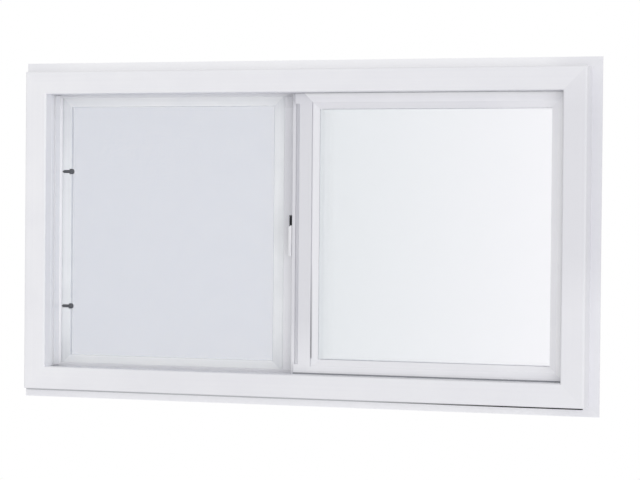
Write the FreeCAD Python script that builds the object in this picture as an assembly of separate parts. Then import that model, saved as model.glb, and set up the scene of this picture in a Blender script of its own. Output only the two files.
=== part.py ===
import math
import os

from FreeCAD import Vector
import Part

# Horizontal sliding window of white vinyl, seen from the room.
# All lengths in millimetres. X runs to the right, Y from the room to the outdoors, Z up.
# The origin lies on the room side of the mounting flange, at mid-width of its bottom run.
# Section drawings use u (depth behind the front face) and v (inward from the body's edge).

# overall sizes
BODY_WIDTH = 806.0
BODY_HEIGHT = 451.0
BODY_DEPTH = 73.0
FLANGE_WIDTH = 14.0
FLANGE_THICKNESS = 2.5
FLANGE_SETBACK = 37.5

# frame extrusion
FACE_WIDTH = 32.0
POCKET_WIDTH = 30.0
POCKET_FLOOR = 14.0
PARTING_LEG = 3.0
PARTING_RISE = 3.0
CHANNEL_WIDTH = 14.0
CHANNEL_FLOOR = 27.0
REAR_LEG = 6.0
REAR_FACE = 42.0
FRONT_ROUND = 2.5
EDGE_ROUND = 1.2
RAIL_RIB_WIDTH = 4.0
RAIL_RIB_HEIGHT = 8.0
WEEP_LENGTH = 24.0
WEEP_HEIGHT = 5.0
WEEP_ROUND = 2.4
WEEP_PLACE = 0.31

# sealing strip under the front edge of the sill
GASKET_SETBACK = 3.0
GASKET_WIDTH = 8.0
GASKET_THICKNESS = 1.8
GASKET_ROUND = 0.6
GASKET_END = 3.0

# cover of the left jamb pocket
COVER_WALL = 3.0
COVER_LEG = 1.2
COVER_ROUND = 1.0
KERF_SETBACK = 8.0
KERF_WIDTH = 5.0
KERF_DEPTH = 7.0
KERF_WALL = 1.2

# meeting stile
STILE_LEFT = -31.0
STILE_RIGHT = 6.0
STILE_REAR_RIGHT = 9.0
STILE_PLATE = 2.0
STILE_ROUND = 0.8
SCREEN_GROOVE = 3.5
STILE_WEB_RIGHT = 0.0
HOOK_LEFT = 2.0
HOOK_REACH = 5.0
HOOK_WALL = 1.2
HOOK_GAP = 1.0
HOOK_CLEARANCE = 1.0
HOOK_RUN = 0.5
HOOK_END = 12.0
PLUG_LENGTH = 16.0
PLUG_DEPTH = 2.5
PLUG_ROUND = 1.5
PLUG_INSET = 1.0
PLUG_RIGHT = -8.0

# insulating glass
PANE = 3.0
AIR_SPACE = 8.0
SPACER_WIDTH = 5.0
GLASS_EDGE_CLEARANCE = 1.0

# fixed light beads
FIXED_BEAD_WIDTH = 12.0
FIXED_BEAD_DEPTH = 2.5
FIXED_BEVEL = 3.0
BEAD_BEVEL_SHARE = 0.7

# sash
SASH_LEFT = 1.5
SASH_JAMB_OVERLAP = 7.0
SASH_SILL_OVERLAP = 6.5
SASH_HEAD_OVERLAP = 4.6
SASH_RUN = 4.0
SASH_PROFILE = 26.5
SASH_SOLID = 17.5
SASH_REAR_LEG = 3.0
PULL_REAR_REACH = 22.5
PULL_SEAM = 1.2
PULL_SEAM_DEPTH = 2.0
SASH_ROUND = 1.0
SASH_BEAD_STEP = 0.8
SASH_BEAD_FLAT = 0.8
PULL_WIDTH = 8.5
LIP_REACH = 5.0
LIP_SETBACK = 6.0
SCOOP_WIDTH = 7.3
SCOOP_DEPTH = 7.5
SCOOP_END = 19.5
CLOSED_GAP = 6.0

# glides and pile seals
GLIDE_LENGTH = 40.0
GLIDE_WIDTH = 12.0
GLIDE_SPACING = 240.0
GLIDE_SKIRT = 6.0
GLIDE_LEAD = 3.0
GLIDE_SIDE_CLEARANCE = 0.5
GLIDE_TOP_CLEARANCE = 0.3
PILE_WIDTH = 2.5
PILE_HEIGHT = 4.0
PILE_END = 30.0
PILE_INSET = 0.3
PILE_RUN = 0.5
PILE_ROUND = 0.8
PILE_ROOT = 3.5
SILL_PILE_SHOWN = 1.6
HEAD_PILE_SHOWN = 0.5
JAMB_PILE_SHOWN = 0.7

# latch
LATCH_BOTTOM = 194.0
LATCH_LENGTH = 56.6
LATCH_WIDTH = 4.5
LATCH_DEPTH = 8.0
LATCH_SETBACK = 8.0
LATCH_WALL = 0.8
LATCH_FLOOR = 2.0
LATCH_END = 1.5
LATCH_CLEARANCE = 0.3
SLIDER_LENGTH = 40.5
SLIDER_CAP = 2.7
SLIDER_ROUND = 0.8
SLIDER_RISE = 2.5
PAD_RISE = 2.0
PAD_INSET = 0.6
PAD_LOW = 4.0
PAD_LENGTH = 14.0
PAD_ROUND = 1.2

# screen
SCREEN_RUN = 1.0
SCREEN_THICKNESS = 11.0
SCREEN_BAR = 19.0
SCREEN_SIDE_CLEARANCE = 2.0
SCREEN_STILE_CLEARANCE = 0.5
SCREEN_HEAD_CLEARANCE = 2.0
SCREEN_FRONT_WALL = 7.0
SCREEN_REBATE = 6.0
MESH_THICKNESS = 0.6
MESH_EDGE = 0.3
MESH_PITCH = 30.0
MESH_BAR = 3.0
SPLINE_WIDTH = 2.5
SPLINE_DEPTH = 3.0
PLUNGER_UPPER = 310.2
PLUNGER_LOWER = 116.1
PLUNGER_SETBACK = 2.0
PIN_DIAMETER = 3.6
PIN_POINT = 0.6
PIN_CLEARANCE = 0.4
PIN_ENGAGEMENT = 5.0
KNOB_DIAMETER = 7.0
KNOB_LENGTH = 5.5
KNOB_BEVEL = 0.8
KNOB_SUNK = 3.0
PLUNGER_SLOT = 12.5

# levels that follow from the sizes above
LEFT = -BODY_WIDTH / 2
RIGHT = BODY_WIDTH / 2
BOTTOM = FLANGE_WIDTH / 2
TOP = BOTTOM + BODY_HEIGHT
CHANNEL_BACK = BODY_DEPTH - REAR_LEG
CHANNEL_FRONT = CHANNEL_BACK - CHANNEL_WIDTH
POCKET_BACK = CHANNEL_FRONT - PARTING_LEG
FRONT_LEG = POCKET_BACK - POCKET_WIDTH
PARTING_FACE = FACE_WIDTH + PARTING_RISE
GLASS_THICKNESS = 2 * PANE + AIR_SPACE
SASH_FRONT = FRONT_LEG + SASH_RUN
SASH_BACK = POCKET_BACK - SASH_RUN
SCREEN_FRONT = CHANNEL_FRONT + SCREEN_RUN
PLUNGER_DEPTH = SCREEN_FRONT + PLUNGER_SETBACK
SASH_GLASS_FRONT = SASH_BACK - SASH_REAR_LEG - GLASS_THICKNESS
SASH_RIGHT = RIGHT - FACE_WIDTH + SASH_JAMB_OVERLAP
SASH_BOTTOM = BOTTOM + FACE_WIDTH - SASH_SILL_OVERLAP
SASH_TOP = TOP - FACE_WIDTH + SASH_HEAD_OVERLAP
PULL_LEFT = SASH_LEFT - PULL_WIDTH
LIP_LEFT = PULL_LEFT - LIP_REACH
SASH_TRAVEL = LIP_LEFT - CLOSED_GAP - LEFT - FACE_WIDTH
RIB_MIDDLE = (SASH_FRONT + SASH_BACK) / 2

os.makedirs("parts", exist_ok=True)


def rounded(points, radii):
    """Plane face through the points; each corner is rounded by its radius, and 0 keeps it sharp."""
    count = len(points)
    arcs = []
    for index in range(count):
        here = points[index]
        back = (points[index - 1] - here).normalize()
        forth = (points[(index + 1) % count] - here).normalize()
        half = back.getAngle(forth) / 2
        cut = radii[index] / math.tan(half)
        middle = (back + forth).normalize()
        reach = radii[index] / math.sin(half) - radii[index]
        arcs.append((here + back * cut, here + middle * reach, here + forth * cut))
    edges = []
    for index in range(count):
        first, middle, last = arcs[index]
        if radii[index] > 0:
            edges.append(Part.Arc(first, middle, last).toShape())
        edges.append(Part.makeLine(last, arcs[(index + 1) % count][0]))
    return Part.Face(Part.Wire(edges))


def section(corners):
    """Face across a bar along X from corners (u, v, radius)."""
    return rounded([Vector(0, u, v) for u, v, radius in corners], [radius for u, v, radius in corners])


def level(corners, left, right):
    """Bar along X between two X values, from corners (u, z, radius) of its section."""
    points = [Vector(left, u - FLANGE_SETBACK, z) for u, z, radius in corners]
    return rounded(points, [radius for u, z, radius in corners]).extrude(Vector(right - left, 0, 0))


def upright(corners, low, high):
    """Bar along Z between two Z values, from corners (x, u, radius) of its section."""
    points = [Vector(x, u - FLANGE_SETBACK, low) for x, u, radius in corners]
    return rounded(points, [radius for x, u, radius in corners]).extrude(Vector(0, 0, high - low))


def plate(corners, near, far):
    """Flat plate between two depths u, from corners (x, z, radius) of its outline."""
    points = [Vector(x, near - FLANGE_SETBACK, z) for x, z, radius in corners]
    return rounded(points, [radius for x, z, radius in corners]).extrude(Vector(0, far - near, 0))


def rectangle(first, last, low, high, radius):
    """Corners of a rectangle, all four rounded alike."""
    return [(first, low, radius), (last, low, radius), (last, high, radius), (first, high, radius)]


def mitred(corners, length):
    """Bar along X, cut at 45 degrees at both ends, `length` long where v is 0."""
    low = min(v for u, v, radius in corners) - 1
    high = max(v for u, v, radius in corners) + 1
    half = length / 2
    bar = section(corners).extrude(Vector(length - 2 * low, 0, 0))
    bar.translate(Vector(low - half, 0, 0))
    near = min(u for u, v, radius in corners) - 1
    far = max(u for u, v, radius in corners) + 1
    outline = [
        Vector(low - half, near, low),
        Vector(half - low, near, low),
        Vector(half - high, near, high),
        Vector(high - half, near, high),
        Vector(low - half, near, low),
    ]
    wedge = Part.Face(Part.makePolygon(outline)).extrude(Vector(0, far - near, 0))
    return bar.common(wedge)


TURNS = {"bottom": 0, "left": 90, "top": 180, "right": -90}


def side(corners, rect, name):
    """One mitred side of a rectangular ring; rect holds left, right, bottom and top."""
    left, right, bottom, top = rect
    length = right - left
    if name in ("left", "right"):
        length = top - bottom
    bar = mitred(corners, length)
    bar.rotate(Vector(0, 0, 0), Vector(0, 1, 0), TURNS[name])
    spot = Vector((left + right) / 2, -FLANGE_SETBACK, (bottom + top) / 2)
    if name == "left":
        spot.x = left
    if name == "right":
        spot.x = right
    if name == "bottom":
        spot.z = bottom
    if name == "top":
        spot.z = top
    bar.translate(spot)
    return bar


def block(left, right, near, far, low, high):
    """Box between two X, two depths u and two Z values."""
    corner = Vector(left, near - FLANGE_SETBACK, low)
    return Part.makeBox(right - left, far - near, high - low, corner)


def rod(left, right, depth, height, diameter):
    """Round bar along X at depth u and height Z."""
    start = Vector(left, depth - FLANGE_SETBACK, height)
    return Part.makeCylinder(diameter / 2, right - left, start, Vector(1, 0, 0))


def inset(rect, amount):
    """The same rectangle, smaller by `amount` on every side."""
    left, right, bottom, top = rect
    return (left + amount, right - amount, bottom + amount, top - amount)


def pane(rect, near, far):
    """Flat sheet that fills a rectangle between two depths."""
    return block(rect[0], rect[1], near, far, rect[2], rect[3])


def ring(rect, width, near, far):
    """Rectangular ring of the given width between two depths."""
    return pane(rect, near, far).cut(pane(inset(rect, width), near - 1, far + 1))


def save(name, shape):
    """Writes one piece as a STEP file."""
    shape.removeSplitter().exportStep("parts/" + name + ".step")


def frame_section(floor_detail):
    """Frame extrusion: front leg, sash pocket, parting leg, outer channel, rear leg and flange."""
    front = [(0, 0, FRONT_ROUND), (0, FACE_WIDTH, FRONT_ROUND), (FRONT_LEG, FACE_WIDTH, EDGE_ROUND)]
    pocket = [(FRONT_LEG, POCKET_FLOOR, 0)] + floor_detail + [(POCKET_BACK, POCKET_FLOOR, 0)]
    parting = [(POCKET_BACK, PARTING_FACE, EDGE_ROUND), (CHANNEL_FRONT, PARTING_FACE, EDGE_ROUND)]
    channel = [(CHANNEL_FRONT, CHANNEL_FLOOR, 0), (CHANNEL_BACK, CHANNEL_FLOOR, 0)]
    rear_edge = [(BODY_DEPTH, REAR_FACE, EDGE_ROUND), (BODY_DEPTH, 0, EDGE_ROUND)]
    rear = [(CHANNEL_BACK, REAR_FACE, 0)] + rear_edge
    fin_back = FLANGE_SETBACK + FLANGE_THICKNESS
    fin_edge = [(fin_back, -FLANGE_WIDTH, 0), (FLANGE_SETBACK, -FLANGE_WIDTH, 0)]
    fin = [(fin_back, 0, 0)] + fin_edge + [(FLANGE_SETBACK, 0, 0)]
    return front + pocket + parting + channel + rear + fin


BODY = (LEFT, RIGHT, BOTTOM, TOP)
RIB_TOP = POCKET_FLOOR + RAIL_RIB_HEIGHT
RIB = [
    (RIB_MIDDLE - RAIL_RIB_WIDTH / 2, POCKET_FLOOR, 0),
    (RIB_MIDDLE - RAIL_RIB_WIDTH / 2, RIB_TOP, EDGE_ROUND),
    (RIB_MIDDLE + RAIL_RIB_WIDTH / 2, RIB_TOP, EDGE_ROUND),
    (RIB_MIDDLE + RAIL_RIB_WIDTH / 2, POCKET_FLOOR, 0),
]
PLUNGER_HEIGHTS = {"upper": BOTTOM + PLUNGER_UPPER, "lower": BOTTOM + PLUNGER_LOWER}
CHANNEL_LEFT = LEFT + CHANNEL_FLOOR
PIN_TIP = CHANNEL_LEFT - PIN_ENGAGEMENT

# frame, with weep slots behind the glass and the screen, and holes for the screen's plungers
sill = side(frame_section(RIB), BODY, "bottom")
weep_low = BOTTOM + CHANNEL_FLOOR
for sign in (-1, 1):
    middle = sign * WEEP_PLACE * BODY_WIDTH
    ends = (middle - WEEP_LENGTH / 2, middle + WEEP_LENGTH / 2)
    weep = rectangle(ends[0], ends[1], weep_low, weep_low + WEEP_HEIGHT, WEEP_ROUND)
    sill = sill.cut(plate(weep, CHANNEL_BACK - 1, BODY_DEPTH + 1))
save("frame_sill", sill)
save("frame_head", side(frame_section([]), BODY, "top"))
save("frame_right_jamb", side(frame_section([]), BODY, "right"))
left_jamb = side(frame_section([]), BODY, "left")
for height in PLUNGER_HEIGHTS.values():
    hole = rod(PIN_TIP - 1, CHANNEL_LEFT + 1, PLUNGER_DEPTH, height, PIN_DIAMETER + 2 * PIN_CLEARANCE)
    left_jamb = left_jamb.cut(hole)
save("frame_left_jamb", left_jamb)
gasket_back = GASKET_SETBACK + GASKET_WIDTH
gasket = [
    (GASKET_SETBACK, BOTTOM, 0),
    (gasket_back, BOTTOM, 0),
    (gasket_back, BOTTOM - GASKET_THICKNESS, GASKET_ROUND),
    (GASKET_SETBACK, BOTTOM - GASKET_THICKNESS, GASKET_ROUND),
]
save("sill_gasket", level(gasket, LEFT + GASKET_END, RIGHT - GASKET_END))

# cover of the left jamb pocket: a channel with a deep groove along its face
pocket_left = LEFT + POCKET_FLOOR
kerf_front = FRONT_LEG + KERF_SETBACK
kerf_back = kerf_front + KERF_WIDTH
cover_face = LEFT + FACE_WIDTH
cover_back = cover_face - COVER_WALL
cover_low = BOTTOM + FACE_WIDTH
cover_high = TOP - FACE_WIDTH
kerf_floor = cover_face - KERF_DEPTH
cover_section = [
    (pocket_left, FRONT_LEG, 0),
    (cover_face, FRONT_LEG, COVER_ROUND),
    (cover_face, kerf_front, 0),
    (kerf_floor, kerf_front, 0),
    (kerf_floor, kerf_back, 0),
    (cover_face, kerf_back, 0),
    (cover_face, POCKET_BACK, 0),
    (pocket_left, POCKET_BACK, 0),
    (pocket_left, POCKET_BACK - COVER_LEG, 0),
    (cover_back, POCKET_BACK - COVER_LEG, 0),
    (cover_back, kerf_back + KERF_WALL, 0),
    (kerf_floor - KERF_WALL, kerf_back + KERF_WALL, 0),
    (kerf_floor - KERF_WALL, kerf_front - KERF_WALL, 0),
    (cover_back, kerf_front - KERF_WALL, 0),
    (cover_back, FRONT_LEG + COVER_LEG, 0),
    (pocket_left, FRONT_LEG + COVER_LEG, 0),
]
save("left_jamb_cover", upright(cover_section, cover_low, cover_high))

# pile strip of the right jamb, behind the frame's front leg
right_edge = RIGHT - FACE_WIDTH - JAMB_PILE_SHOWN
right_pile = [
    (right_edge, FRONT_LEG, 0),
    (right_edge + PILE_ROOT, FRONT_LEG, 0),
    (right_edge + PILE_ROOT, SASH_FRONT - PILE_RUN, PILE_ROUND),
    (right_edge, SASH_FRONT - PILE_RUN, PILE_ROUND),
]
right_pile_low = cover_low + SILL_PILE_SHOWN + CLOSED_GAP
right_pile_high = cover_high - HEAD_PILE_SHOWN - CLOSED_GAP
save("right_jamb_pile", upright(right_pile, right_pile_low, right_pile_high))

# meeting stile: front plate with the interlock hook, web, and rear plate, coped to the frame
plate_low = BOTTOM + PARTING_FACE
plate_high = TOP - PARTING_FACE
web_low = BOTTOM + CHANNEL_FLOOR
web_high = TOP - CHANNEL_FLOOR
rear_low = BOTTOM + REAR_FACE
rear_high = TOP - REAR_FACE
plate_front = CHANNEL_FRONT - STILE_PLATE
web_left = STILE_LEFT + SCREEN_GROOVE
hook_front = SASH_BACK + HOOK_GAP
hook_right = HOOK_LEFT + HOOK_REACH
stile_section = [
    (STILE_LEFT, plate_front, STILE_ROUND),
    (HOOK_LEFT, plate_front, 0),
    (HOOK_LEFT, hook_front, 0),
    (hook_right, hook_front, 0),
    (hook_right, hook_front + HOOK_WALL, 0),
    (HOOK_LEFT + HOOK_WALL, hook_front + HOOK_WALL, 0),
    (HOOK_LEFT + HOOK_WALL, plate_front, 0),
    (STILE_RIGHT, plate_front, STILE_ROUND),
    (STILE_RIGHT, CHANNEL_FRONT, 0),
    (STILE_WEB_RIGHT, CHANNEL_FRONT, 0),
    (STILE_WEB_RIGHT, CHANNEL_BACK, 0),
    (STILE_REAR_RIGHT, CHANNEL_BACK, 0),
    (STILE_REAR_RIGHT, BODY_DEPTH, STILE_ROUND),
    (STILE_LEFT, BODY_DEPTH, STILE_ROUND),
    (STILE_LEFT, CHANNEL_BACK, 0),
    (web_left, CHANNEL_BACK, 0),
    (web_left, CHANNEL_FRONT, 0),
    (STILE_LEFT, CHANNEL_FRONT, 0),
]
stile = upright(stile_section, web_low, web_high)
copes = [
    (hook_front - 1, CHANNEL_FRONT, web_low - 1, plate_low),
    (hook_front - 1, CHANNEL_FRONT, plate_high, web_high + 1),
    (CHANNEL_BACK, BODY_DEPTH + 1, web_low - 1, rear_low),
    (CHANNEL_BACK, BODY_DEPTH + 1, rear_high, web_high + 1),
]
for near, far, low, high in copes:
    stile = stile.cut(block(STILE_LEFT - 1, STILE_REAR_RIGHT + 1, near, far, low, high))
save("meeting_stile", stile)
plug = rectangle(STILE_LEFT + PLUG_INSET, PLUG_RIGHT, plate_high - PLUG_LENGTH, plate_high, PLUG_ROUND)
save("dust_plug", plate(plug, plate_front - PLUG_DEPTH, plate_front))


def glass(prefix, rect, front):
    """Insulating glass: two panes and the spacer that joins them."""
    middle = front + PANE
    back = middle + AIR_SPACE
    save(prefix + "_glass_inner", pane(rect, front, middle))
    save(prefix + "_spacer", ring(rect, SPACER_WIDTH, middle, back))
    save(prefix + "_glass_outer", pane(rect, back, back + PANE))


def beads(prefix, rect, front, depth, width, flat):
    """Four mitred glazing beads: a flat edge, then a bevel towards the glass."""
    corners = [
        (front, 0, 0),
        (front, flat, 0),
        (front + depth * BEAD_BEVEL_SHARE, width, 0),
        (front + depth, width, 0),
        (front + depth, 0, 0),
    ]
    for name in TURNS:
        save(prefix + "_bead_" + name, side(corners, rect, name))


# fixed light
glass_edge = CHANNEL_FLOOR + GLASS_EDGE_CLEARANCE
fixed_left = STILE_WEB_RIGHT + GLASS_EDGE_CLEARANCE
fixed_glass = (fixed_left, RIGHT - glass_edge, BOTTOM + glass_edge, TOP - glass_edge)
glass("fixed", fixed_glass, CHANNEL_FRONT)
fixed_opening = (STILE_RIGHT, RIGHT - PARTING_FACE, BOTTOM + PARTING_FACE, TOP - PARTING_FACE)
fixed_flat = FIXED_BEAD_WIDTH - FIXED_BEVEL
fixed_front = CHANNEL_FRONT - FIXED_BEAD_DEPTH
beads("fixed", fixed_opening, fixed_front, FIXED_BEAD_DEPTH, FIXED_BEAD_WIDTH, fixed_flat)

# sash; the left stile is the wider pull stile, with a seam beside its bead, a finger scoop and a lip
SASH = (SASH_LEFT, SASH_RIGHT, SASH_BOTTOM, SASH_TOP)
rear_front = SASH_BACK - SASH_REAR_LEG
sash_section = [
    (SASH_FRONT, 0, SASH_ROUND),
    (SASH_FRONT, SASH_SOLID, 0),
    (rear_front, SASH_SOLID, 0),
    (rear_front, SASH_PROFILE, 0),
    (SASH_BACK, SASH_PROFILE, SASH_ROUND),
    (SASH_BACK, 0, SASH_ROUND),
]
save("sash_top_rail", side(sash_section, SASH, "top"))
save("sash_bottom_rail", side(sash_section, SASH, "bottom"))
hook_lip_left = HOOK_LEFT + HOOK_WALL + HOOK_CLEARANCE + SASH_TRAVEL
hook_stem_left = hook_right + HOOK_CLEARANCE + SASH_TRAVEL
hook_lip_front = hook_front + HOOK_WALL + HOOK_RUN
hook_section = [
    (hook_stem_left, SASH_BACK - SASH_REAR_LEG, 0),
    (hook_stem_left, hook_lip_front, 0),
    (hook_lip_left, hook_lip_front, 0),
    (hook_lip_left, hook_lip_front + HOOK_WALL, 0),
    (hook_stem_left + HOOK_WALL, hook_lip_front + HOOK_WALL, 0),
    (hook_stem_left + HOOK_WALL, SASH_BACK - SASH_REAR_LEG, 0),
]
hook = upright(hook_section, plate_low + HOOK_END, plate_high - HOOK_END)
save("sash_right_stile", side(sash_section, SASH, "right").fuse(hook))
left_section = [
    (SASH_FRONT, 0, 0),
    (SASH_FRONT, SASH_SOLID - PULL_SEAM, 0),
    (SASH_FRONT + PULL_SEAM_DEPTH, SASH_SOLID - PULL_SEAM, 0),
    (SASH_FRONT + PULL_SEAM_DEPTH, SASH_SOLID, 0),
    (rear_front, SASH_SOLID, 0),
    (rear_front, PULL_REAR_REACH, 0),
    (SASH_BACK, PULL_REAR_REACH, SASH_ROUND),
    (SASH_BACK, 0, 0),
]
pull_section = [
    (LIP_LEFT, SASH_FRONT + LIP_SETBACK, SASH_ROUND),
    (PULL_LEFT, SASH_FRONT + LIP_SETBACK, 0),
    (PULL_LEFT, SASH_FRONT, SASH_ROUND),
    (SASH_LEFT, SASH_FRONT, 0),
    (SASH_LEFT, SASH_BACK, 0),
    (LIP_LEFT, SASH_BACK, SASH_ROUND),
]
left_stile = side(left_section, SASH, "left").fuse(upright(pull_section, SASH_BOTTOM, SASH_TOP))
scoop_section = [
    (PULL_LEFT, SASH_FRONT - 1, 0),
    (PULL_LEFT, SASH_FRONT + SCOOP_DEPTH, 0),
    (PULL_LEFT + SCOOP_WIDTH, SASH_FRONT, 0),
    (PULL_LEFT + SCOOP_WIDTH, SASH_FRONT - 1, 0),
]
scoop = upright(scoop_section, SASH_BOTTOM + SCOOP_END, SASH_TOP - SCOOP_END)
save("sash_left_stile", left_stile.cut(scoop))
glass("sash", inset(SASH, SASH_SOLID + GLASS_EDGE_CLEARANCE), SASH_GLASS_FRONT)
bead_front = SASH_FRONT + SASH_BEAD_STEP
bead_depth = SASH_GLASS_FRONT - bead_front
beads("sash", inset(SASH, SASH_SOLID), bead_front, bead_depth, SASH_PROFILE - SASH_SOLID, SASH_BEAD_FLAT)

# glides astride the rail rib of the sill, with bevelled leading ends
glides = []
sash_middle = (SASH_LEFT + SASH_RIGHT) / 2
rib_level = BOTTOM + RIB_TOP
glide_low = rib_level - GLIDE_SKIRT
rib_slot = RAIL_RIB_WIDTH / 2 + GLIDE_SIDE_CLEARANCE
for sign in (-1, 1):
    start = sash_middle + sign * GLIDE_SPACING / 2 - GLIDE_LENGTH / 2
    end = start + GLIDE_LENGTH
    outline = [
        (start, SASH_BOTTOM, 0),
        (start, glide_low + GLIDE_LEAD, 0),
        (start + GLIDE_LEAD, glide_low, 0),
        (end - GLIDE_LEAD, glide_low, 0),
        (end, glide_low + GLIDE_LEAD, 0),
        (end, SASH_BOTTOM, 0),
    ]
    glide = plate(outline, RIB_MIDDLE - GLIDE_WIDTH / 2, RIB_MIDDLE + GLIDE_WIDTH / 2)
    slot_top = rib_level + GLIDE_TOP_CLEARANCE
    slot = block(start - 1, end + 1, RIB_MIDDLE - rib_slot, RIB_MIDDLE + rib_slot, glide_low - 1, slot_top)
    glides.append(glide.cut(slot))
save("sash_glides", Part.makeCompound(glides))

# pile seals of the sash: behind the right stile, and on the face along the head and the sill
pile_left = SASH_RIGHT - SASH_PROFILE + PILE_INSET
pile_section = [
    (pile_left, SASH_BACK, 0),
    (pile_left + PILE_WIDTH, SASH_BACK, 0),
    (pile_left + PILE_WIDTH, SASH_BACK + PILE_HEIGHT, PILE_ROUND),
    (pile_left, SASH_BACK + PILE_HEIGHT, PILE_ROUND),
]
save("sash_pile_seal", upright(pile_section, SASH_BOTTOM + PILE_END, SASH_TOP - PILE_END))
face_front = FRONT_LEG + PILE_RUN
sill_edge = BOTTOM + FACE_WIDTH + SILL_PILE_SHOWN
head_edge = TOP - FACE_WIDTH - HEAD_PILE_SHOWN
face_piles = []
for edge, root in ((sill_edge, -PILE_ROOT), (head_edge, PILE_ROOT)):
    strip = [
        (SASH_FRONT, edge, 0),
        (SASH_FRONT, edge + root, 0),
        (face_front, edge + root, PILE_ROUND),
        (face_front, edge, PILE_ROUND),
    ]
    face_piles.append(level(strip, PULL_LEFT + SASH_ROUND, SASH_RIGHT - SASH_ROUND))
save("sash_face_pile", Part.makeCompound(face_piles))

# latch on the pull lip: case, and slider with a slanted top and a raised thumb pad
latch_front = SASH_FRONT + LATCH_SETBACK
slider_front = latch_front - LATCH_CLEARANCE - SLIDER_CAP
latch_low = BOTTOM + LATCH_BOTTOM
latch_high = latch_low + LATCH_LENGTH
latch_left = LIP_LEFT - LATCH_WIDTH
latch_back = latch_front + LATCH_DEPTH
track_left = latch_left + LATCH_WALL
track_right = LIP_LEFT - LATCH_WALL
track_back = latch_back - LATCH_FLOOR
case = block(latch_left, LIP_LEFT, latch_front, latch_back, latch_low, latch_high)
track_low = latch_low + LATCH_END
track_high = latch_high - LATCH_END
track = block(track_left, track_right, latch_front - 1, track_back, track_low, track_high)
save("latch_case", case.cut(track))
stem_low = track_low + LATCH_CLEARANCE
slider_high = latch_low + SLIDER_LENGTH
cap_back = latch_front - LATCH_CLEARANCE
stem_left = track_left + LATCH_CLEARANCE
stem_right = track_right - LATCH_CLEARANCE
cap_right = LIP_LEFT - LATCH_CLEARANCE
cap_outline = [
    (latch_left, latch_low, SLIDER_ROUND),
    (cap_right, latch_low, SLIDER_ROUND),
    (cap_right, slider_high + SLIDER_RISE, SLIDER_ROUND),
    (latch_left, slider_high, SLIDER_ROUND),
]
cap = plate(cap_outline, slider_front, cap_back)
stem = block(stem_left, stem_right, cap_back, track_back - LATCH_CLEARANCE, stem_low, slider_high)
pad_low = latch_low + PAD_LOW
pad_high = pad_low + PAD_LENGTH
pad_outline = rectangle(latch_left + PAD_INSET, cap_right - PAD_INSET, pad_low, pad_high, PAD_ROUND)
pad = plate(pad_outline, slider_front - PAD_RISE, slider_front)
save("latch_slider", cap.fuse(stem).fuse(pad))

# half screen
screen_right = web_left - SCREEN_STILE_CLEARANCE
screen_left = CHANNEL_LEFT + SCREEN_SIDE_CLEARANCE
screen_top = TOP - CHANNEL_FLOOR - SCREEN_HEAD_CLEARANCE
SCREEN = (screen_left, screen_right, BOTTOM + CHANNEL_FLOOR, screen_top)
screen_back = SCREEN_FRONT + SCREEN_THICKNESS
mesh_front = SCREEN_FRONT + SCREEN_FRONT_WALL
bar_solid = SCREEN_BAR - SCREEN_REBATE
screen_section = [
    (SCREEN_FRONT, 0, 0),
    (SCREEN_FRONT, SCREEN_BAR, EDGE_ROUND),
    (mesh_front, SCREEN_BAR, 0),
    (mesh_front, bar_solid, 0),
    (screen_back, bar_solid, EDGE_ROUND),
    (screen_back, 0, 0),
]
save("screen_top_rail", side(screen_section, SCREEN, "top"))
save("screen_bottom_rail", side(screen_section, SCREEN, "bottom"))
save("screen_right_stile", side(screen_section, SCREEN, "right"))
screen_left_stile = side(screen_section, SCREEN, "left")
bar_right = screen_left + SCREEN_BAR
pin_bore = PIN_DIAMETER + 2 * PIN_CLEARANCE
slot_left = bar_right - PLUNGER_SLOT
for height in PLUNGER_HEIGHTS.values():
    bore = rod(screen_left - 1, bar_right + 1, PLUNGER_DEPTH, height, pin_bore)
    half = pin_bore / 2
    mouth = block(slot_left, bar_right + 1, SCREEN_FRONT - 1, PLUNGER_DEPTH, height - half, height + half)
    notch_half = KNOB_DIAMETER / 2 + PIN_CLEARANCE
    notch_left = bar_right - KNOB_SUNK - PIN_CLEARANCE
    notch_back = PLUNGER_DEPTH + notch_half
    notch_low = height - notch_half
    notch_high = height + notch_half
    notch = block(notch_left, bar_right + 1, SCREEN_FRONT - 1, notch_back, notch_low, notch_high)
    screen_left_stile = screen_left_stile.cut(bore).cut(mouth).cut(notch)
save("screen_left_stile", screen_left_stile)

# screen cloth: a plain grid of openings, held in the rebate by the spline
mesh_rect = inset(SCREEN, bar_solid + MESH_EDGE)
mesh = pane(mesh_rect, mesh_front, mesh_front + MESH_THICKNESS)
mesh_left, mesh_right, mesh_low, mesh_high = inset(mesh_rect, SPLINE_WIDTH)
columns = round((mesh_right - mesh_left) / MESH_PITCH)
rows = round((mesh_high - mesh_low) / MESH_PITCH)
column_pitch = (mesh_right - mesh_left + MESH_BAR) / columns
row_pitch = (mesh_high - mesh_low + MESH_BAR) / rows
openings = []
for column in range(columns):
    left = mesh_left + column * column_pitch
    for row in range(rows):
        low = mesh_low + row * row_pitch
        opening = (left, left + column_pitch - MESH_BAR, low, low + row_pitch - MESH_BAR)
        openings.append(pane(opening, mesh_front - 1, mesh_front + MESH_THICKNESS + 1))
save("screen_mesh", mesh.cut(Part.makeCompound(openings)))
spline_front = mesh_front + MESH_THICKNESS
save("screen_spline", ring(mesh_rect, SPLINE_WIDTH, spline_front, spline_front + SPLINE_DEPTH))

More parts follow.
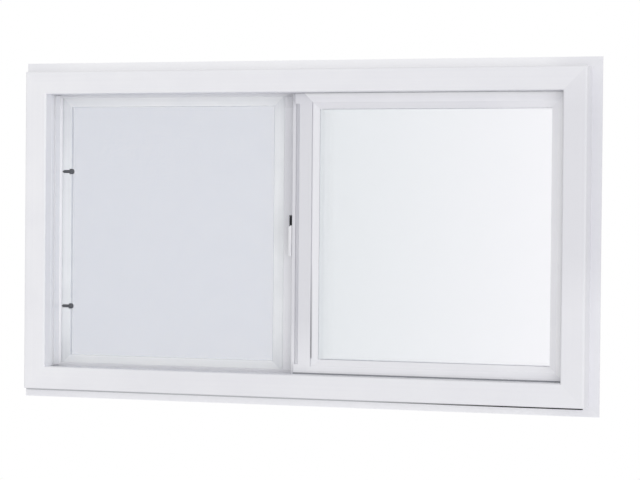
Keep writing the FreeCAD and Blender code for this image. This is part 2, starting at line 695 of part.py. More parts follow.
# spring plungers that hold the screen in the left jamb, turned about their own axes
knob_left = bar_right - KNOB_SUNK
knob_right = knob_left + KNOB_LENGTH
pin_radius = PIN_DIAMETER / 2
knob_radius = KNOB_DIAMETER / 2
profile = [
    (PIN_TIP, 0),
    (PIN_TIP, pin_radius - PIN_POINT),
    (PIN_TIP + PIN_POINT, pin_radius),
    (knob_left, pin_radius),
    (knob_left, knob_radius - KNOB_BEVEL),
    (knob_left + KNOB_BEVEL, knob_radius),
    (knob_right - KNOB_BEVEL, knob_radius),
    (knob_right, knob_radius - KNOB_BEVEL),
    (knob_right, 0),
    (PIN_TIP, 0),
]
for name, height in PLUNGER_HEIGHTS.items():
    axis = Vector(PIN_TIP, PLUNGER_DEPTH - FLANGE_SETBACK, height)
    wire = Part.makePolygon([Vector(x, axis.y, height + radius) for x, radius in profile])
    save("plunger_" + name, Part.Face(wire).revolve(axis, Vector(1, 0, 0), 360))
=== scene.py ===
import math

import bpy
import numpy as np
from mathutils import Matrix, Vector


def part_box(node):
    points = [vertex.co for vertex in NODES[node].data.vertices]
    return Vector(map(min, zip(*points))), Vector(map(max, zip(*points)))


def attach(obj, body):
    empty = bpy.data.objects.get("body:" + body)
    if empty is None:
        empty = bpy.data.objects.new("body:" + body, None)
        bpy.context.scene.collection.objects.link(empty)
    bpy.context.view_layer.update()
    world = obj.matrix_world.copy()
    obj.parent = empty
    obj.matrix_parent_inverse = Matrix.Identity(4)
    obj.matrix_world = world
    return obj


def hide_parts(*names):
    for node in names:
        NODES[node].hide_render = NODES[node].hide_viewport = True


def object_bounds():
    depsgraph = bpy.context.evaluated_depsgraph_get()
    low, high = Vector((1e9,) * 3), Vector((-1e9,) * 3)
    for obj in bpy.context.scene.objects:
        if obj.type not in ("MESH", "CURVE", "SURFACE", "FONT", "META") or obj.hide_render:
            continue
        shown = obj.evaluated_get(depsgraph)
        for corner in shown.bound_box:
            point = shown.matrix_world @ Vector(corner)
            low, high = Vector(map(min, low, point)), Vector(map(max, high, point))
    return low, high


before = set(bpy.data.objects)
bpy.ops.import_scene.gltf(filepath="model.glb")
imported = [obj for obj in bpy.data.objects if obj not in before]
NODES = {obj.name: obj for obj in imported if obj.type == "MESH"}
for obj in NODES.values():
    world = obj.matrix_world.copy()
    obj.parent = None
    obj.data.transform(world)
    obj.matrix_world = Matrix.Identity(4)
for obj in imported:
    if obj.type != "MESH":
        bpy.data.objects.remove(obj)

bl_info = {
    "name": "Sliding window looks",
    "version": (1, 0, 0),
    "blender": (4, 5, 0),
    "location": "View3D > Sidebar > Window",
    "description": "Finishes and stage for a vinyl horizontal sliding window",
    "category": "Object",
}

CAD_BOX = [list(corner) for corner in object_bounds()]
MM = 0.001

# Ends of the names of vinyl pieces that lie level and of those that stand upright.
LEVEL_ENDS = ("_head", "_sill", "_rail", "_top", "_bottom")
UPRIGHT_ENDS = ("_jamb", "_stile", "_left", "_right", "_cover")

# Streaked finishes: roughness, width and length of a streak in millimetres, clear coat, and strength of the
# ripple. All have the same size of cloudy tint, depth of ripple and change of roughness over the streaks.
VINYL = {"rough": 0.38, "width": 3.0, "length": 300.0, "coat": 0.15, "bump": 0.12}
PAINTED_SHADE_VINYL = {**VINYL, "rough": 0.4, "coat": 0.12}
ENAMEL = {"rough": 0.32, "width": 4.0, "length": 250.0, "coat": 0.2, "bump": 0.06}
CLOUD_SIZE = 60 * MM
RIPPLE_DEPTH = 0.05 * MM
STREAK_GLOSS = (-0.05, 0.07)

# Grained finishes: roughness, size of a grain in millimetres, and strength of the dimples. All have the same
# depth of dimple and change of roughness over the grain.
SPACER = {"rough": 0.45, "grit": 2.0, "bump": 0.1}
WIRE = {"rough": 0.85, "grit": 6.0, "bump": 0.05}
ACETAL = {"rough": 0.5, "grit": 0.6, "bump": 0.2}
ABS = {"rough": 0.3, "grit": 0.8, "bump": 0.08}
NYLON = {"rough": 0.5, "grit": 1.2, "bump": 0.15}
PILE = {"rough": 0.85, "grit": 0.7, "bump": 0.8}
RUBBER = {"rough": 0.6, "grit": 0.8, "bump": 0.3}
SILL_STRIP_RUBBER = {**RUBBER, "rough": 0.7}
DIMPLE_DEPTH = 0.1 * MM
GRAIN_GLOSS = (-0.08, 0.08)

# Length and depth of the slow waves in the glass.
GLASS_WAVE = 180 * MM
GLASS_WAVE_DEPTH = 0.2 * MM

# Vinyl with painted shade: a greyer tone painted on pieces that lie in shade. Each row gives the share of the
# painted shade all over the piece, the share that is laid over a stretch of it, the axis that the stretch
# follows, the middle of the stretch from the piece's low end, and the distances from there up to which the
# painted shade is whole and from which it is gone. The last three are parts of the piece's length.
PAINTED_SHADE = {
    "sash_left_stile": (0.0, 1.0, "Z", 1.0, 0.8, 0.99),
    "meeting_stile": (0.0, 0.85, "Z", 0.72, 0.1, 0.3),
    "frame_right_jamb": (0.5, 0.8, "Z", 0.65, 0.2, 0.36),
    "frame_head": (0.0, 0.5, "X", 1.0, 0.0, 1.0),
    "frame_sill": (0.0, 0.4, "X", 1.0, 0.75, 0.97),
    "sash_top_rail": (0.0, 0.3, "X", 0.0, 0.7, 1.0),
    "sash_bead_top": (0.0, 0.7, "X", 0.0, 0.7, 1.0),
    "sash_bead_bottom": (0.0, 0.3, "X", 0.0, 0.7, 1.0),
    "sash_bead_left": (0.4, 0.2, "Z", 0.5, 0.3, 0.5),
}

# Painted light, a whiter tone on vinyl in shade, and painted shade in the seam beside the left bead: the
# share of each tone, and the distances from a face or an edge up to which the tone is whole and from which it
# is gone. A pair with the larger first is measured from an end that stays bare: the tone is whole from the
# first distance on, and gone within the second. The flange's room side is at the origin.
PAINTED_LIGHT_SHARE = 0.85
WALL_SHARE = 1.0
FLANGE_FACE = 0.0
FLANGE_SKIN = (1.5 * MM, 2.5 * MM)
FLANGE_END = (80 * MM, 15 * MM)
RAIL_EDGE = (7 * MM, 12 * MM)
WALL_SKIN = (0.5 * MM, 1.0 * MM)
WALL_FRONT = (5.0 * MM, 2.5 * MM)
SEAM_SHADE_SHARE = 0.6
SEAM_WIDTH = (0.8 * MM, 1.5 * MM)
SEAM_RISE = (40 * MM, 150 * MM)
SEAM_FOOT = (12 * MM, 9 * MM)

# Painted shade on the sill strip, paler towards the left: its share, and the parts of the strip's length,
# from the left, up to which the paler tone is whole and from which it is gone.
STRIP_PALER_SHARE = 0.85
STRIP_PALER_REACH = (0.62, 0.86)

# Part of a wire's radius by which each layer of wires stands off the middle of the screen.
LAYER_OFFSET = 0.7

# Floor: half its width in metres, and its points along each side.
FLOOR_REACH = 14.0
FLOOR_POINTS = 15

# Width of the camera's sensor in millimetres.
SENSOR_WIDTH = 36.0


def linear(code):
    """sRGB hex code to a linear RGBA colour, by the sRGB transfer curve."""
    channels = [int(code[i:i + 2], 16) / 255 for i in (1, 3, 5)]
    curved = [c / 12.92 if c <= 0.04045 else ((c + 0.055) / 1.055) ** 2.4 for c in channels]
    return (*curved, 1.0)


def between(first, second, share):
    """Tone the given share of the way from the first to the second, in linear light."""
    return tuple(a + (b - a) * share for a, b in zip(first, second))


def beyond(length, reach):
    """Distances from a plane that end the given reaches short of an end at the given length."""
    return tuple(length - part for part in reach)


def add(tree, kind, attributes=None, values=None, links=None):
    """Adds one shader node, sets its attributes and input values, and links its inputs."""
    node = tree.nodes.new(kind)
    for name, value in (attributes or {}).items():
        setattr(node, name, value)
    for name, value in (values or {}).items():
        node.inputs[name].default_value = value
    for name, socket in (links or {}).items():
        tree.links.new(socket, node.inputs[name])
    return node


def blank(name):
    """New material with an empty node tree."""
    material = bpy.data.materials.new(name)
    material.use_nodes = True
    material.node_tree.nodes.clear()
    return material, material.node_tree


def put(material, shader):
    """Links a shader to the material's output."""
    add(material.node_tree, "ShaderNodeOutputMaterial", links={"Surface": shader.outputs[0]})
    return material


def dress(material, *names):
    """Gives the material to the named CAD nodes."""
    for name in names:
        slots = NODES[name].data.materials
        slots.clear()
        slots.append(material)


def streaked(name, pale, deep, run, rough, width, length, coat, bump):
    """Extruded or rolled surface: fine noise drawn out along one axis tints, roughens and ripples it."""
    material, tree = blank(name)
    spot = add(tree, "ShaderNodeTexCoord")
    scale = [1 / (width * MM)] * 3
    scale["XYZ".index(run)] = 1 / (length * MM)
    turned = add(tree, "ShaderNodeMapping", values={"Scale": scale},
                 links={"Vector": spot.outputs["Object"]})
    lines = add(tree, "ShaderNodeTexNoise", values={"Scale": 1.0, "Detail": 3.0, "Roughness": 0.55},
                links={"Vector": turned.outputs[0]})
    cloud = add(tree, "ShaderNodeTexNoise", values={"Scale": 1 / CLOUD_SIZE, "Detail": 2.0},
                links={"Vector": spot.outputs["Object"]})
    line_share = 0.6
    both = add(tree, "ShaderNodeMath", {"operation": "MULTIPLY_ADD"}, {1: line_share},
               {0: lines.outputs["Fac"], 2: cloud.outputs["Fac"]})
    tint = add(tree, "ShaderNodeMapRange", values={"From Min": 0.55, "From Max": 1.05},
               links={"Value": both.outputs[0]})
    tone = add(tree, "ShaderNodeMix", {"data_type": "RGBA"}, {6: deep, 7: pale}, {0: tint.outputs[0]})
    smooth, coarse = (rough + change for change in STREAK_GLOSS)
    gloss = add(tree, "ShaderNodeMapRange", values={"To Min": smooth, "To Max": coarse},
                links={"Value": lines.outputs["Fac"]})
    ripple = add(tree, "ShaderNodeBump", values={"Strength": bump, "Distance": RIPPLE_DEPTH},
                 links={"Height": lines.outputs["Fac"]})
    shader = add(tree, "ShaderNodeBsdfPrincipled",
                 values={"IOR": 1.53, "Coat Weight": coat, "Coat Roughness": 0.25},
                 links={"Base Color": tone.outputs[2], "Roughness": gloss.outputs[0],
                        "Normal": ripple.outputs[0]})
    return put(material, shader)


def moulded(name, pale, deep, rough, grit, bump):
    """Moulded surface: fine even grain tints, roughens and dimples it."""
    material, tree = blank(name)
    spot = add(tree, "ShaderNodeTexCoord")
    grain = add(tree, "ShaderNodeTexNoise", values={"Scale": 1 / (grit * MM), "Detail": 4.0},
                links={"Vector": spot.outputs["Object"]})
    tone = add(tree, "ShaderNodeMix", {"data_type": "RGBA"}, {6: deep, 7: pale}, {0: grain.outputs["Fac"]})
    smooth, coarse = (rough + change for change in GRAIN_GLOSS)
    gloss = add(tree, "ShaderNodeMapRange", values={"To Min": smooth, "To Max": coarse},
                links={"Value": grain.outputs["Fac"]})
    dimple = add(tree, "ShaderNodeBump", values={"Strength": bump, "Distance": DIMPLE_DEPTH},
                 links={"Height": grain.outputs["Fac"]})
    shader = add(tree, "ShaderNodeBsdfPrincipled", values={"IOR": 1.5},
                 links={"Base Color": tone.outputs[2], "Roughness": gloss.outputs[0],
                        "Normal": dimple.outputs[0]})
    return put(material, shader)


def lay(material, tone, share, *spans):
    """Lays a tone over a material's base colour, in the given share, near planes across the axes.

    Each span is an axis, a plane's place on it and two distances from the plane. The share is whole up to
    the first distance, falls evenly, and is 0 from the second. Several spans multiply.
    """
    tree = material.node_tree
    shader = next(node for node in tree.nodes if node.bl_idname == "ShaderNodeBsdfPrincipled")
    bare = shader.inputs["Base Color"].links[0].from_socket
    spot = add(tree, "ShaderNodeTexCoord")
    place = add(tree, "ShaderNodeSeparateXYZ", links={"Vector": spot.outputs["Object"]})
    laid = None
    for axis, plane, full, gone in spans:
        offset = add(tree, "ShaderNodeMath", {"operation": "SUBTRACT"}, {1: plane},
                     {0: place.outputs[axis]})
        away = add(tree, "ShaderNodeMath", {"operation": "ABSOLUTE"}, links={0: offset.outputs[0]})
        near = add(tree, "ShaderNodeMapRange",
                   values={"From Min": gone, "From Max": full, "To Max": 1.0 if laid else share},
                   links={"Value": away.outputs[0]})
        if laid:
            near = add(tree, "ShaderNodeMath", {"operation": "MULTIPLY"},
                       links={0: laid.outputs[0], 1: near.outputs[0]})
        laid = near
    mixed = add(tree, "ShaderNodeMix", {"data_type": "RGBA"}, {7: tone}, {0: laid.outputs[0], 6: bare})
    tree.links.new(mixed.outputs[2], shader.inputs["Base Color"])


def swatch(name, description, code):
    """Colour property with an sRGB hex code as its default."""
    return bpy.props.FloatVectorProperty(name=name, description=description, default=linear(code), size=4,
                                         subtype="COLOR", min=0.0, max=1.0)


class WindowFinish(bpy.types.PropertyGroup):
    """Colours of the window's surfaces, most of them as a pale and a deep tone."""

    vinyl: swatch("Vinyl", "White of the vinyl", "#F7F7FA")
    vinyl_deep: swatch("Vinyl streak", "Darker streak of the vinyl", "#F2F2F6")
    # Painted shade: the grey tone painted on vinyl that lies in shade.
    painted_shade_tone: swatch("Painted shade", "Grey painted shade on the pull stile and on other vinyl in shade", "#E1E1E6")
    # Painted light: the whiter tone painted on vinyl that lies in shade.
    painted_light_tone: swatch("Painted light", "Whiter painted light on the flange and on vinyl in shade", "#FDFDFF")
    # Painted shade: the grey tone painted in the seam beside the left bead.
    seam_shade_tone: swatch("Seam shade", "Grey painted shade at the foot of the seam beside the left bead", "#77797D")
    # Painted shade on the glass runs from the shaded tone at the panes' left to the clear tone at their
    # right.
    glass: swatch("Glass", "Tone of one pane at its clear end", "#FEFEFF")
    glass_shaded: swatch("Glass, shaded", "Tone of one pane at its left end, with painted shade", "#F9FAFB")
    spacer: swatch("Spacer", "White coat of the spacers between the panes", "#F4F5F7")
    spacer_deep: swatch("Spacer, deep", "Darker grain of the spacers' coat", "#EAECEE")
    enamel: swatch("Enamel", "White of the screen's level bars", "#FDFEFF")
    enamel_deep: swatch("Enamel streak", "Streak of the level bars and white of the upright bars", "#F7F9FB")
    enamel_greyer: swatch("Enamel, greyer", "Darker streak of the screen's upright bars", "#EBEDF0")
    wire: swatch("Screen wire", "Slate blue of the screen wire", "#4C6CA8")
    wire_deep: swatch("Screen wire, deep", "Darker tone of the screen wire", "#3E5C91")
    acetal: swatch("Acetal", "Dark plastic of the latch case and plungers", "#66686C")
    acetal_deep: swatch("Acetal, deep", "Darker grain of the dark plastic", "#56585C")
    thumb: swatch("Thumb piece", "White plastic of the latch slider", "#EEEEF1")
    thumb_deep: swatch("Thumb piece, deep", "Darker grain of the latch slider", "#E6E6EA")
    nylon: swatch("Nylon", "Grey of the glides", "#C2C4C7")
    nylon_deep: swatch("Nylon, deep", "Darker mottle of the glides", "#AEB1B5")
    pile: swatch("Pile", "Grey of the weather pile", "#A4A6AC")
    pile_deep: swatch("Pile, deep", "Darker tufts of the weather pile", "#828489")
    plug: swatch("Plug", "Undyed pile of the plug in the meeting stile", "#F0F0F3")
    plug_deep: swatch("Plug, deep", "Darker tufts of the plug", "#E2E2E6")
    rubber: swatch("Rubber", "Black of the spline and the sill strip", "#2B2C2F")
    rubber_deep: swatch("Rubber, deep", "Darker grain of the black rubber", "#1C1D20")
    # Painted shade: the paler tone painted on the sill strip except at its right end.
    strip_paler_shade: swatch("Paler strip shade", "Paler painted shade on the sill strip", "#C4C6C9")
    paper: swatch("Paper", "Tone in which the floor throws light up", "#F2F2F4")
    backdrop: swatch("Backdrop", "White of the surroundings", "#FFFFFF")


class ScreenWeave(bpy.types.PropertyGroup):
    """Sizes of the insect screen's wire mesh."""

    pitch_x: bpy.props.FloatProperty(name="Pitch across", description="Spacing of the upright wires",
                                     default=1.0 * MM, unit="LENGTH", precision=5)
    pitch_z: bpy.props.FloatProperty(name="Pitch up", description="Spacing of the level wires",
                                     default=1.0 * MM, unit="LENGTH", precision=5)
    thickness: bpy.props.FloatProperty(name="Wire", description="Diameter of one wire",
                                       default=0.2 * MM, unit="LENGTH", precision=5)


class Studio(bpy.types.PropertyGroup):
    """Camera and light of the stage."""

    lens: bpy.props.FloatProperty(name="Lens", description="Focal length in millimetres", default=117.45)
    eye: bpy.props.FloatVectorProperty(name="Eye", description="Place of the camera", size=3,
                                       default=(0.88669, -2.75303, 0.26842), subtype="XYZ", unit="LENGTH")
    yaw: bpy.props.FloatProperty(name="Yaw", description="Turn of the view to the left",
                                 default=math.radians(17.35), subtype="ANGLE")
    pitch: bpy.props.FloatProperty(name="Pitch", description="Tilt of the view upwards",
                                   default=math.radians(-0.89), subtype="ANGLE")
    roll: bpy.props.FloatProperty(name="Roll", description="Turn of the view about its own line",
                                  default=math.radians(-0.51), subtype="ANGLE")
    key: bpy.props.FloatProperty(name="Key light", description="Power of the soft panel at the front right",
                                 default=104.0, unit="POWER")
    key_place: bpy.props.FloatVectorProperty(name="Key place", size=3, subtype="XYZ", unit="LENGTH",
                                             description="Key panel from the window's middle",
                                             default=(3.4, -4.8, 0.2))
    back: bpy.props.FloatProperty(name="Back light", description="Power of the soft panel at the back left",
                                  default=70.0, unit="POWER")
    back_place: bpy.props.FloatVectorProperty(name="Back place", size=3, subtype="XYZ", unit="LENGTH",
                                              description="Back panel from the window's middle",
                                              default=(-3.4, 4.8, 0.2))
    panel: bpy.props.FloatVectorProperty(name="Panel", description="Width and height of each soft panel",
                                         size=2, default=(6.0, 2.8), unit="LENGTH")
    sky: bpy.props.FloatProperty(name="Sky", description="Strength of the light from all round", default=0.70)
    drop: bpy.props.FloatProperty(name="Floor drop", description="Height of the window above the floor",
                                  default=1.2, unit="LENGTH")


def paint_light(finish, upright_vinyl, painted_shade_materials):
    """Paints light: lays the whiter tone on vinyl that stands in the shade or behind the face."""
    low, high = CAD_BOX
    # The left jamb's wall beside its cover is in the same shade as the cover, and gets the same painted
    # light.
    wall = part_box("left_jamb_cover")[1][0]
    depth = high[1] - low[1]
    lay(upright_vinyl, finish.painted_light_tone, WALL_SHARE, ("X", wall, *WALL_SKIN),
        ("Y", high[1], *beyond(depth, WALL_FRONT)))
    # The flange of the head and sill, which stands in shade behind the face, gets painted light up to the
    # corners.
    middle, half = (low[0] + high[0]) / 2, (high[0] - low[0]) / 2
    for name in ("frame_head", "frame_sill"):
        lay(painted_shade_materials[name], finish.painted_light_tone, PAINTED_LIGHT_SHARE, ("Y", FLANGE_FACE, *FLANGE_SKIN),
            ("X", middle, *beyond(half, FLANGE_END)))
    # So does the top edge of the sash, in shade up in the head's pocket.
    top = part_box("sash_top_rail")[1][2]
    lay(painted_shade_materials["sash_top_rail"], finish.painted_light_tone, PAINTED_LIGHT_SHARE, ("Z", top, *RAIL_EDGE))


def paint_seam_shade(finish, painted_shade_materials):
    """Lays painted shade in the seam between the pull stile and the left bead, thickest near the foot."""
    (seam, _, foot), (_, _, top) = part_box("sash_bead_left")
    for name in ("sash_left_stile", "sash_bead_left"):
        lay(painted_shade_materials[name], finish.seam_shade_tone, SEAM_SHADE_SHARE, ("X", seam, *SEAM_WIDTH), ("Z", foot, *SEAM_RISE),
            ("Z", top, *beyond(top - foot, SEAM_FOOT)))


class WINDOW_OT_vinyl(bpy.types.Operator):
    """White extruded vinyl for the frame, the sash, the beads and the meeting stile"""

    bl_idname = "window.vinyl"
    bl_label = "Vinyl extrusions"

    def execute(self, context):
        finish = context.scene.window_finish
        pieces = [n for n in NODES if not n.startswith("screen_")]
        level = [n for n in pieces if n.endswith(LEVEL_ENDS)]
        upright = [n for n in pieces if n.endswith(UPRIGHT_ENDS)]
        # Extruded rigid vinyl: satin white with the faint lengthwise lines of the die.
        # The lines are drawn 3 mm wide, coarser than real, so that they show in the render.
        plain = {}
        for run, names in (("X", level), ("Z", upright)):
            title = "extruded_vinyl_" + run.lower()
            plain[run] = streaked(title, finish.vinyl, finish.vinyl_deep, run, **VINYL)
            dress(plain[run], *names)
        # Painted shade: the same extrusion, painted a little greyer where it lies in shade.
        painted_shade_materials = {}
        for name, (whole, share, axis, *stretch) in PAINTED_SHADE.items():
            tones = [between(tone, finish.painted_shade_tone, whole) for tone in (finish.vinyl, finish.vinyl_deep)]
            run = "X" if name in level else "Z"
            painted_shade_materials[name] = streaked("shade_painted_vinyl_" + name, *tones, run, **PAINTED_SHADE_VINYL)
            low, high = (corner["XYZ".index(axis)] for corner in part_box(name))
            middle, full, gone = (part * (high - low) for part in stretch)
            lay(painted_shade_materials[name], finish.painted_shade_tone, share, (axis, low + middle, full, gone))
            dress(painted_shade_materials[name], name)
        # Painted light: the same extrusion on two uprights in the shade of the jambs, painted a little
        # whiter.
        painted_light_deep = between(finish.painted_light_tone, finish.vinyl, share=0.5)
        painted_light_material = streaked("painted_light_vinyl", finish.painted_light_tone, painted_light_deep, "Z", **VINYL)
        dress(painted_light_material, "left_jamb_cover", "sash_right_stile")
        paint_light(finish, plain["Z"], painted_shade_materials)
        paint_seam_shade(finish, painted_shade_materials)
        return {"FINISHED"}


def float_glass(finish):
    """Clear glass: it bends what is seen through it, and light passes straight through its tint."""
    material, tree = blank("float_glass")
    spot = add(tree, "ShaderNodeTexCoord")
    wave = add(tree, "ShaderNodeTexNoise", values={"Scale": 1 / GLASS_WAVE, "Detail": 1.0},
               links={"Vector": spot.outputs["Object"]})
    bend = add(tree, "ShaderNodeBump", values={"Strength": 0.03, "Distance": GLASS_WAVE_DEPTH},
               links={"Height": wave.outputs["Fac"]})
    # Painted shade across the panes, darker at the left end of the sash glass and clear at its right.
    low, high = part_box("sash_glass_inner")
    place = add(tree, "ShaderNodeSeparateXYZ", links={"Vector": spot.outputs["Object"]})
    painted_shade_across = add(tree, "ShaderNodeMapRange", values={"From Min": low[0], "From Max": high[0]},
               links={"Value": place.outputs["X"]})
    tint = add(tree, "ShaderNodeMix", {"data_type": "RGBA"}, {6: finish.glass_shaded, 7: finish.glass},
               {0: painted_shade_across.outputs[0]})
    clear = add(tree, "ShaderNodeBsdfPrincipled",
                values={"Roughness": 0.0, "IOR": 1.52, "Transmission Weight": 1.0},
                links={"Base Color": tint.outputs[2], "Normal": bend.outputs[0]})
    lit = add(tree, "ShaderNodeBsdfTransparent", links={"Color": tint.outputs[2]})
    path = add(tree, "ShaderNodeLightPath")
    lights = add(tree, "ShaderNodeMath", {"operation": "MAXIMUM"},
                 links={0: path.outputs["Is Shadow Ray"], 1: path.outputs["Is Diffuse Ray"]})
    return put(material, add(tree, "ShaderNodeMixShader",
                             links={0: lights.outputs[0], 1: clear.outputs[0], 2: lit.outputs[0]}))


class WINDOW_OT_glass(bpy.types.Operator):
    """Clear float glass for the panes, and the coated spacers between them"""

    bl_idname = "window.glass"
    bl_label = "Insulating glass"

    def execute(self, context):
        finish = context.scene.window_finish
        # Float glass: clear, with a slow waviness of the tin bath and a painted shade, darkest at the left,
        # that thins towards the right.
        dress(float_glass(finish), *[n for n in NODES if "_glass_" in n])
        # White-coated aluminium spacer, roll-formed, dulled by the sealant.
        spacer = moulded("spacer_aluminium", finish.spacer, finish.spacer_deep, **SPACER)
        dress(spacer, "fixed_spacer", "sash_spacer")
        return {"FINISHED"}


def wires(starts, ends, across, up, radius):
    """Straight square wires between two rows of points.

    Each end of a wire is a ring of corners. A corner is the point on the wire's axis, plus the radius times
    the cosine of the corner's angle in the across direction and the sine of it in the up direction.
    """
    sides = 4
    angles = (np.arange(sides) + 0.5) * 2 * math.pi / sides
    ring = radius * (np.cos(angles)[:, None] * across + np.sin(angles)[:, None] * up)
    points = np.concatenate([starts[:, None, :] + ring, ends[:, None, :] + ring], axis=1).reshape(-1, 3)
    base = (np.arange(len(starts)) * 2 * sides)[:, None, None]
    side = np.arange(sides)
    following = (side + 1) % sides
    walls = np.stack([side, following, following + sides, side + sides], axis=1)
    caps = np.stack([side[::-1], side + sides])
    faces = (base + np.concatenate([walls, caps])).reshape(-1, sides)
    return points, faces


class WINDOW_OT_screen(bpy.types.Operator):
    """Wire mesh and bars of the insect screen"""

    bl_idname = "window.screen"
    bl_label = "Insect screen"

    def execute(self, context):
        finish = context.scene.window_finish
        weave = context.scene.screen_weave
        low, high = (np.array(corner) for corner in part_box("screen_mesh"))
        across, away, up = np.eye(3)
        middle = (low[1] + high[1]) / 2
        radius = weave.thickness / 2
        columns = np.arange(low[0] + weave.pitch_x / 2, high[0], weave.pitch_x)
        rows = np.arange(low[2] + weave.pitch_z / 2, high[2], weave.pitch_z)
        # Upright wires lie just on the room side of the level wires.
        front = np.full_like(columns, middle - radius * LAYER_OFFSET)
        back = np.full_like(rows, middle + radius * LAYER_OFFSET)
        foot, top = (np.stack([columns, front, np.full_like(columns, z)], axis=1) for z in (low[2], high[2]))
        left, right = (np.stack([np.full_like(rows, x), back, rows], axis=1) for x in (low[0], high[0]))
        uprights, upright_faces = wires(foot, top, across, away, radius)
        levels, level_faces = wires(left, right, away, up, radius)
        points = np.concatenate([uprights, levels])
        faces = np.concatenate([upright_faces, level_faces + len(uprights)])
        mesh = bpy.data.meshes.new("screen_wire_mesh")
        mesh.from_pydata(points.tolist(), [], faces.tolist())
        mesh.update()
        cloth = bpy.data.objects.new("screen_wire_mesh", mesh)
        context.scene.collection.objects.link(cloth)
        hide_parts("screen_mesh")
        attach(cloth, "frame")
        # Slate-coated wire: matt, with small changes of tone along it.
        mesh.materials.append(moulded("slate_wire", finish.wire, finish.wire_deep, **WIRE))
        # Roll-formed aluminium bars with baked white enamel, smooth and a little glossier than the vinyl.
        # The upright bars are a little greyer than the level bars.
        for run, pale, deep, names in (
                ("X", finish.enamel, finish.enamel_deep, ("screen_top_rail", "screen_bottom_rail")),
                ("Z", finish.enamel_deep, finish.enamel_greyer, ("screen_left_stile", "screen_right_stile"))):
            dress(streaked("white_enamel_" + run.lower(), pale, deep, run, **ENAMEL), *names)
        return {"FINISHED"}


class WINDOW_OT_fittings(bpy.types.Operator):
    """Latch, screen plungers, glides, weather pile, spline and sill strip"""

    bl_idname = "window.fittings"
    bl_label = "Fittings"

    def execute(self, context):
        finish = context.scene.window_finish
        # Moulded acetal: dense dark plastic with a fine spark-eroded grain.
        dark = moulded("dark_acetal", finish.acetal, finish.acetal_deep, **ACETAL)
        dress(dark, "plunger_upper", "plunger_lower", "latch_case")
        # Moulded white ABS: smooth, slightly glossy.
        dress(moulded("white_abs", finish.thumb, finish.thumb_deep, **ABS), "latch_slider")
        # Moulded grey nylon: waxy and mottled.
        dress(moulded("grey_nylon", finish.nylon, finish.nylon_deep, **NYLON), "sash_glides")
        # Woven polypropylene pile: grey tufts that scatter light.
        pile = moulded("grey_pile", finish.pile, finish.pile_deep, **PILE)
        dress(pile, *[n for n in NODES if "pile" in n])
        # The plug of the meeting stile is of the same pile, undyed.
        dress(moulded("pale_pile", finish.plug, finish.plug_deep, **PILE), "dust_plug")
        # Extruded black rubber: dull and finely grained, in the spline that holds the mesh in its groove.
        dress(moulded("black_rubber", finish.rubber, finish.rubber_deep, **RUBBER), "screen_spline")
        # The strip under the sill is of the same rubber, with its shade painted paler except at its right
        # end, where it stays dark.
        strip = moulded("sill_strip_rubber", finish.rubber, finish.rubber_deep, **SILL_STRIP_RUBBER)
        left, right = (corner[0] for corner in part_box("sill_gasket"))
        full, gone = (part * (right - left) for part in STRIP_PALER_REACH)
        lay(strip, finish.strip_paler_shade, STRIP_PALER_SHARE, ("X", left, full, gone))
        dress(strip, "sill_gasket")
        return {"FINISHED"}


def seen_rays(tree):
    """1 for rays that see the backdrop (camera, glass, mirror images), 0 for rays that carry light."""
    path = add(tree, "ShaderNodeLightPath")
    either = add(tree, "ShaderNodeMath", {"operation": "MAXIMUM"},
                 links={0: path.outputs["Is Camera Ray"], 1: path.outputs["Is Transmission Ray"]})
    return add(tree, "ShaderNodeMath", {"operation": "MAXIMUM"},
               links={0: either.outputs[0], 1: path.outputs["Is Glossy Ray"]})


def lay_floor(scene, finish, level):
    """One wide level sheet: z is constant over a grid of x and y."""
    spread = np.linspace(-FLOOR_REACH, FLOOR_REACH, FLOOR_POINTS)
    x, y = np.meshgrid(spread, spread)
    points = np.stack([x.ravel(), y.ravel(), np.full(x.size, level)], axis=1)
    index = np.arange(x.size).reshape(x.shape)
    corners = (index[:-1, :-1], index[:-1, 1:], index[1:, 1:], index[1:, :-1])
    faces = np.stack(corners, axis=-1).reshape(-1, len(corners))
    mesh = bpy.data.meshes.new("studio_floor")
    mesh.from_pydata(points.tolist(), [], faces.tolist())
    floor = bpy.data.objects.new("studio_floor", mesh)
    scene.collection.objects.link(floor)
    # Pale paper floor: it throws light up like paper, and is seen as white with the window's soft shadow,
    # which is the part of the sky that the window hides.
    material, tree = blank("pale_paper")
    paper = add(tree, "ShaderNodeBsdfDiffuse", values={"Color": finish.paper})
    shadow = add(tree, "ShaderNodeAmbientOcclusion", {"samples": 16}, {"Distance": 4.0})
    white = add(tree, "ShaderNodeEmission", values={"Strength": 1.0},
                links={"Color": shadow.outputs["Color"]})
    put(material, add(tree, "ShaderNodeMixShader",
                      links={0: seen_rays(tree).outputs[0], 1: paper.outputs[0], 2: white.outputs[0]}))
    mesh.materials.append(material)


def light_sky(scene, finish, sky):
    """World that is white where it is seen and softer where it lights."""
    world = bpy.data.worlds.new("studio_white")
    scene.world = world
    world.use_nodes = True
    tree = world.node_tree
    tree.nodes.clear()
    strength = add(tree, "ShaderNodeMapRange", values={"To Min": sky, "To Max": 1.0},
                   links={"Value": seen_rays(tree).outputs[0]})
    white = add(tree, "ShaderNodeBackground", values={"Color": finish.backdrop},
                links={"Strength": strength.outputs[0]})
    add(tree, "ShaderNodeOutputWorld", links={"Surface": white.outputs[0]})


def hang_panel(scene, name, power, size, aim, place):
    """Wide soft lamp turned to the aim, hidden from mirror images and from views through the glass."""
    light = bpy.data.lights.new(name, "AREA")
    light.shape = "RECTANGLE"
    light.size, light.size_y = size
    light.energy = power
    lamp = bpy.data.objects.new(name, light)
    scene.collection.objects.link(lamp)
    lamp.location = aim + Vector(place)
    lamp.rotation_euler = (aim - lamp.location).to_track_quat("-Z", "Y").to_euler()
    lamp.visible_glossy = False
    lamp.visible_transmission = False


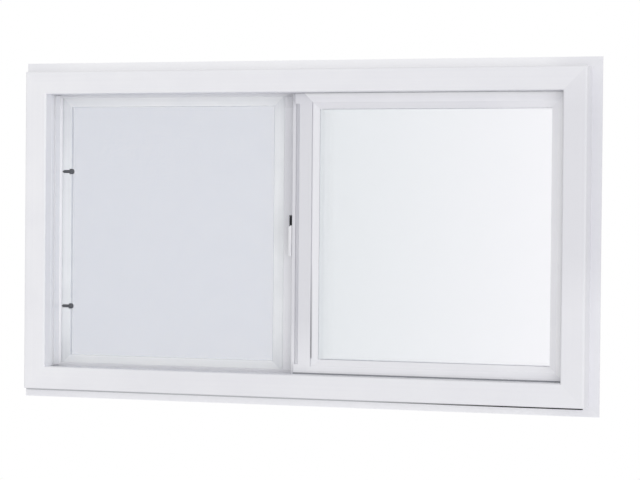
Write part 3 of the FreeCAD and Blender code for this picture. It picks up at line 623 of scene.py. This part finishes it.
def place_camera(scene, studio):
    """Camera at the eye, turned by yaw, pitch and roll."""
    yaw, pitch, roll = studio.yaw, studio.pitch, studio.roll
    ahead = Vector((-math.sin(yaw) * math.cos(pitch), math.cos(yaw) * math.cos(pitch), math.sin(pitch)))
    right = Vector((math.cos(yaw), math.sin(yaw), 0))
    up = right.cross(ahead)
    across = right * math.cos(roll) - up * math.sin(roll)
    upright = right * math.sin(roll) + up * math.cos(roll)
    turn = Matrix((across, upright, -ahead)).transposed()
    data = bpy.data.cameras.new("photo_view")
    data.sensor_width = SENSOR_WIDTH
    data.lens = studio.lens
    camera = bpy.data.objects.new("photo_view", data)
    camera.matrix_world = Matrix.Translation(studio.eye) @ turn.to_4x4()
    scene.collection.objects.link(camera)
    scene.camera = camera


class WINDOW_OT_stage(bpy.types.Operator):
    """Pale floor, soft light all round, two soft panels and the camera"""

    bl_idname = "window.stage"
    bl_label = "Stage"

    def execute(self, context):
        scene = context.scene
        finish = scene.window_finish
        studio = scene.window_studio
        scene.view_settings.view_transform = "Standard"
        low, high = CAD_BOX
        lay_floor(scene, finish, low[2] - studio.drop)
        light_sky(scene, finish, studio.sky)
        aim = (Vector(low) + Vector(high)) / 2
        hang_panel(scene, "key_panel", studio.key, studio.panel, aim, studio.key_place)
        hang_panel(scene, "back_panel", studio.back, studio.panel, aim, studio.back_place)
        place_camera(scene, studio)
        return {"FINISHED"}


class WINDOW_PT_sidebar(bpy.types.Panel):
    """Lists the steps that dress the window"""

    bl_label = "Sliding window"
    bl_idname = "WINDOW_PT_sidebar"
    bl_space_type = "VIEW_3D"
    bl_region_type = "UI"
    bl_category = "Window"

    def draw(self, context):
        for operator in OPERATORS:
            self.layout.operator(operator.bl_idname)


OPERATORS = (WINDOW_OT_vinyl, WINDOW_OT_glass, WINDOW_OT_screen, WINDOW_OT_fittings, WINDOW_OT_stage)
GROUPS = {"window_finish": WindowFinish, "screen_weave": ScreenWeave, "window_studio": Studio}
CLASSES = (*GROUPS.values(), *OPERATORS, WINDOW_PT_sidebar)


def register():
    """Registers the classes and hangs the property groups on the scene."""
    for item in CLASSES:
        bpy.utils.register_class(item)
    for name, group in GROUPS.items():
        setattr(bpy.types.Scene, name, bpy.props.PointerProperty(type=group))


def unregister():
    """Takes the property groups and the classes away again."""
    for name in GROUPS:
        delattr(bpy.types.Scene, name)
    for item in reversed(CLASSES):
        bpy.utils.unregister_class(item)


def main():
    """Runs each step in order."""
    register()
    bpy.ops.window.vinyl()
    bpy.ops.window.glass()
    bpy.ops.window.screen()
    bpy.ops.window.fittings()
    bpy.ops.window.stage()


if __name__ == "__main__":
    main()
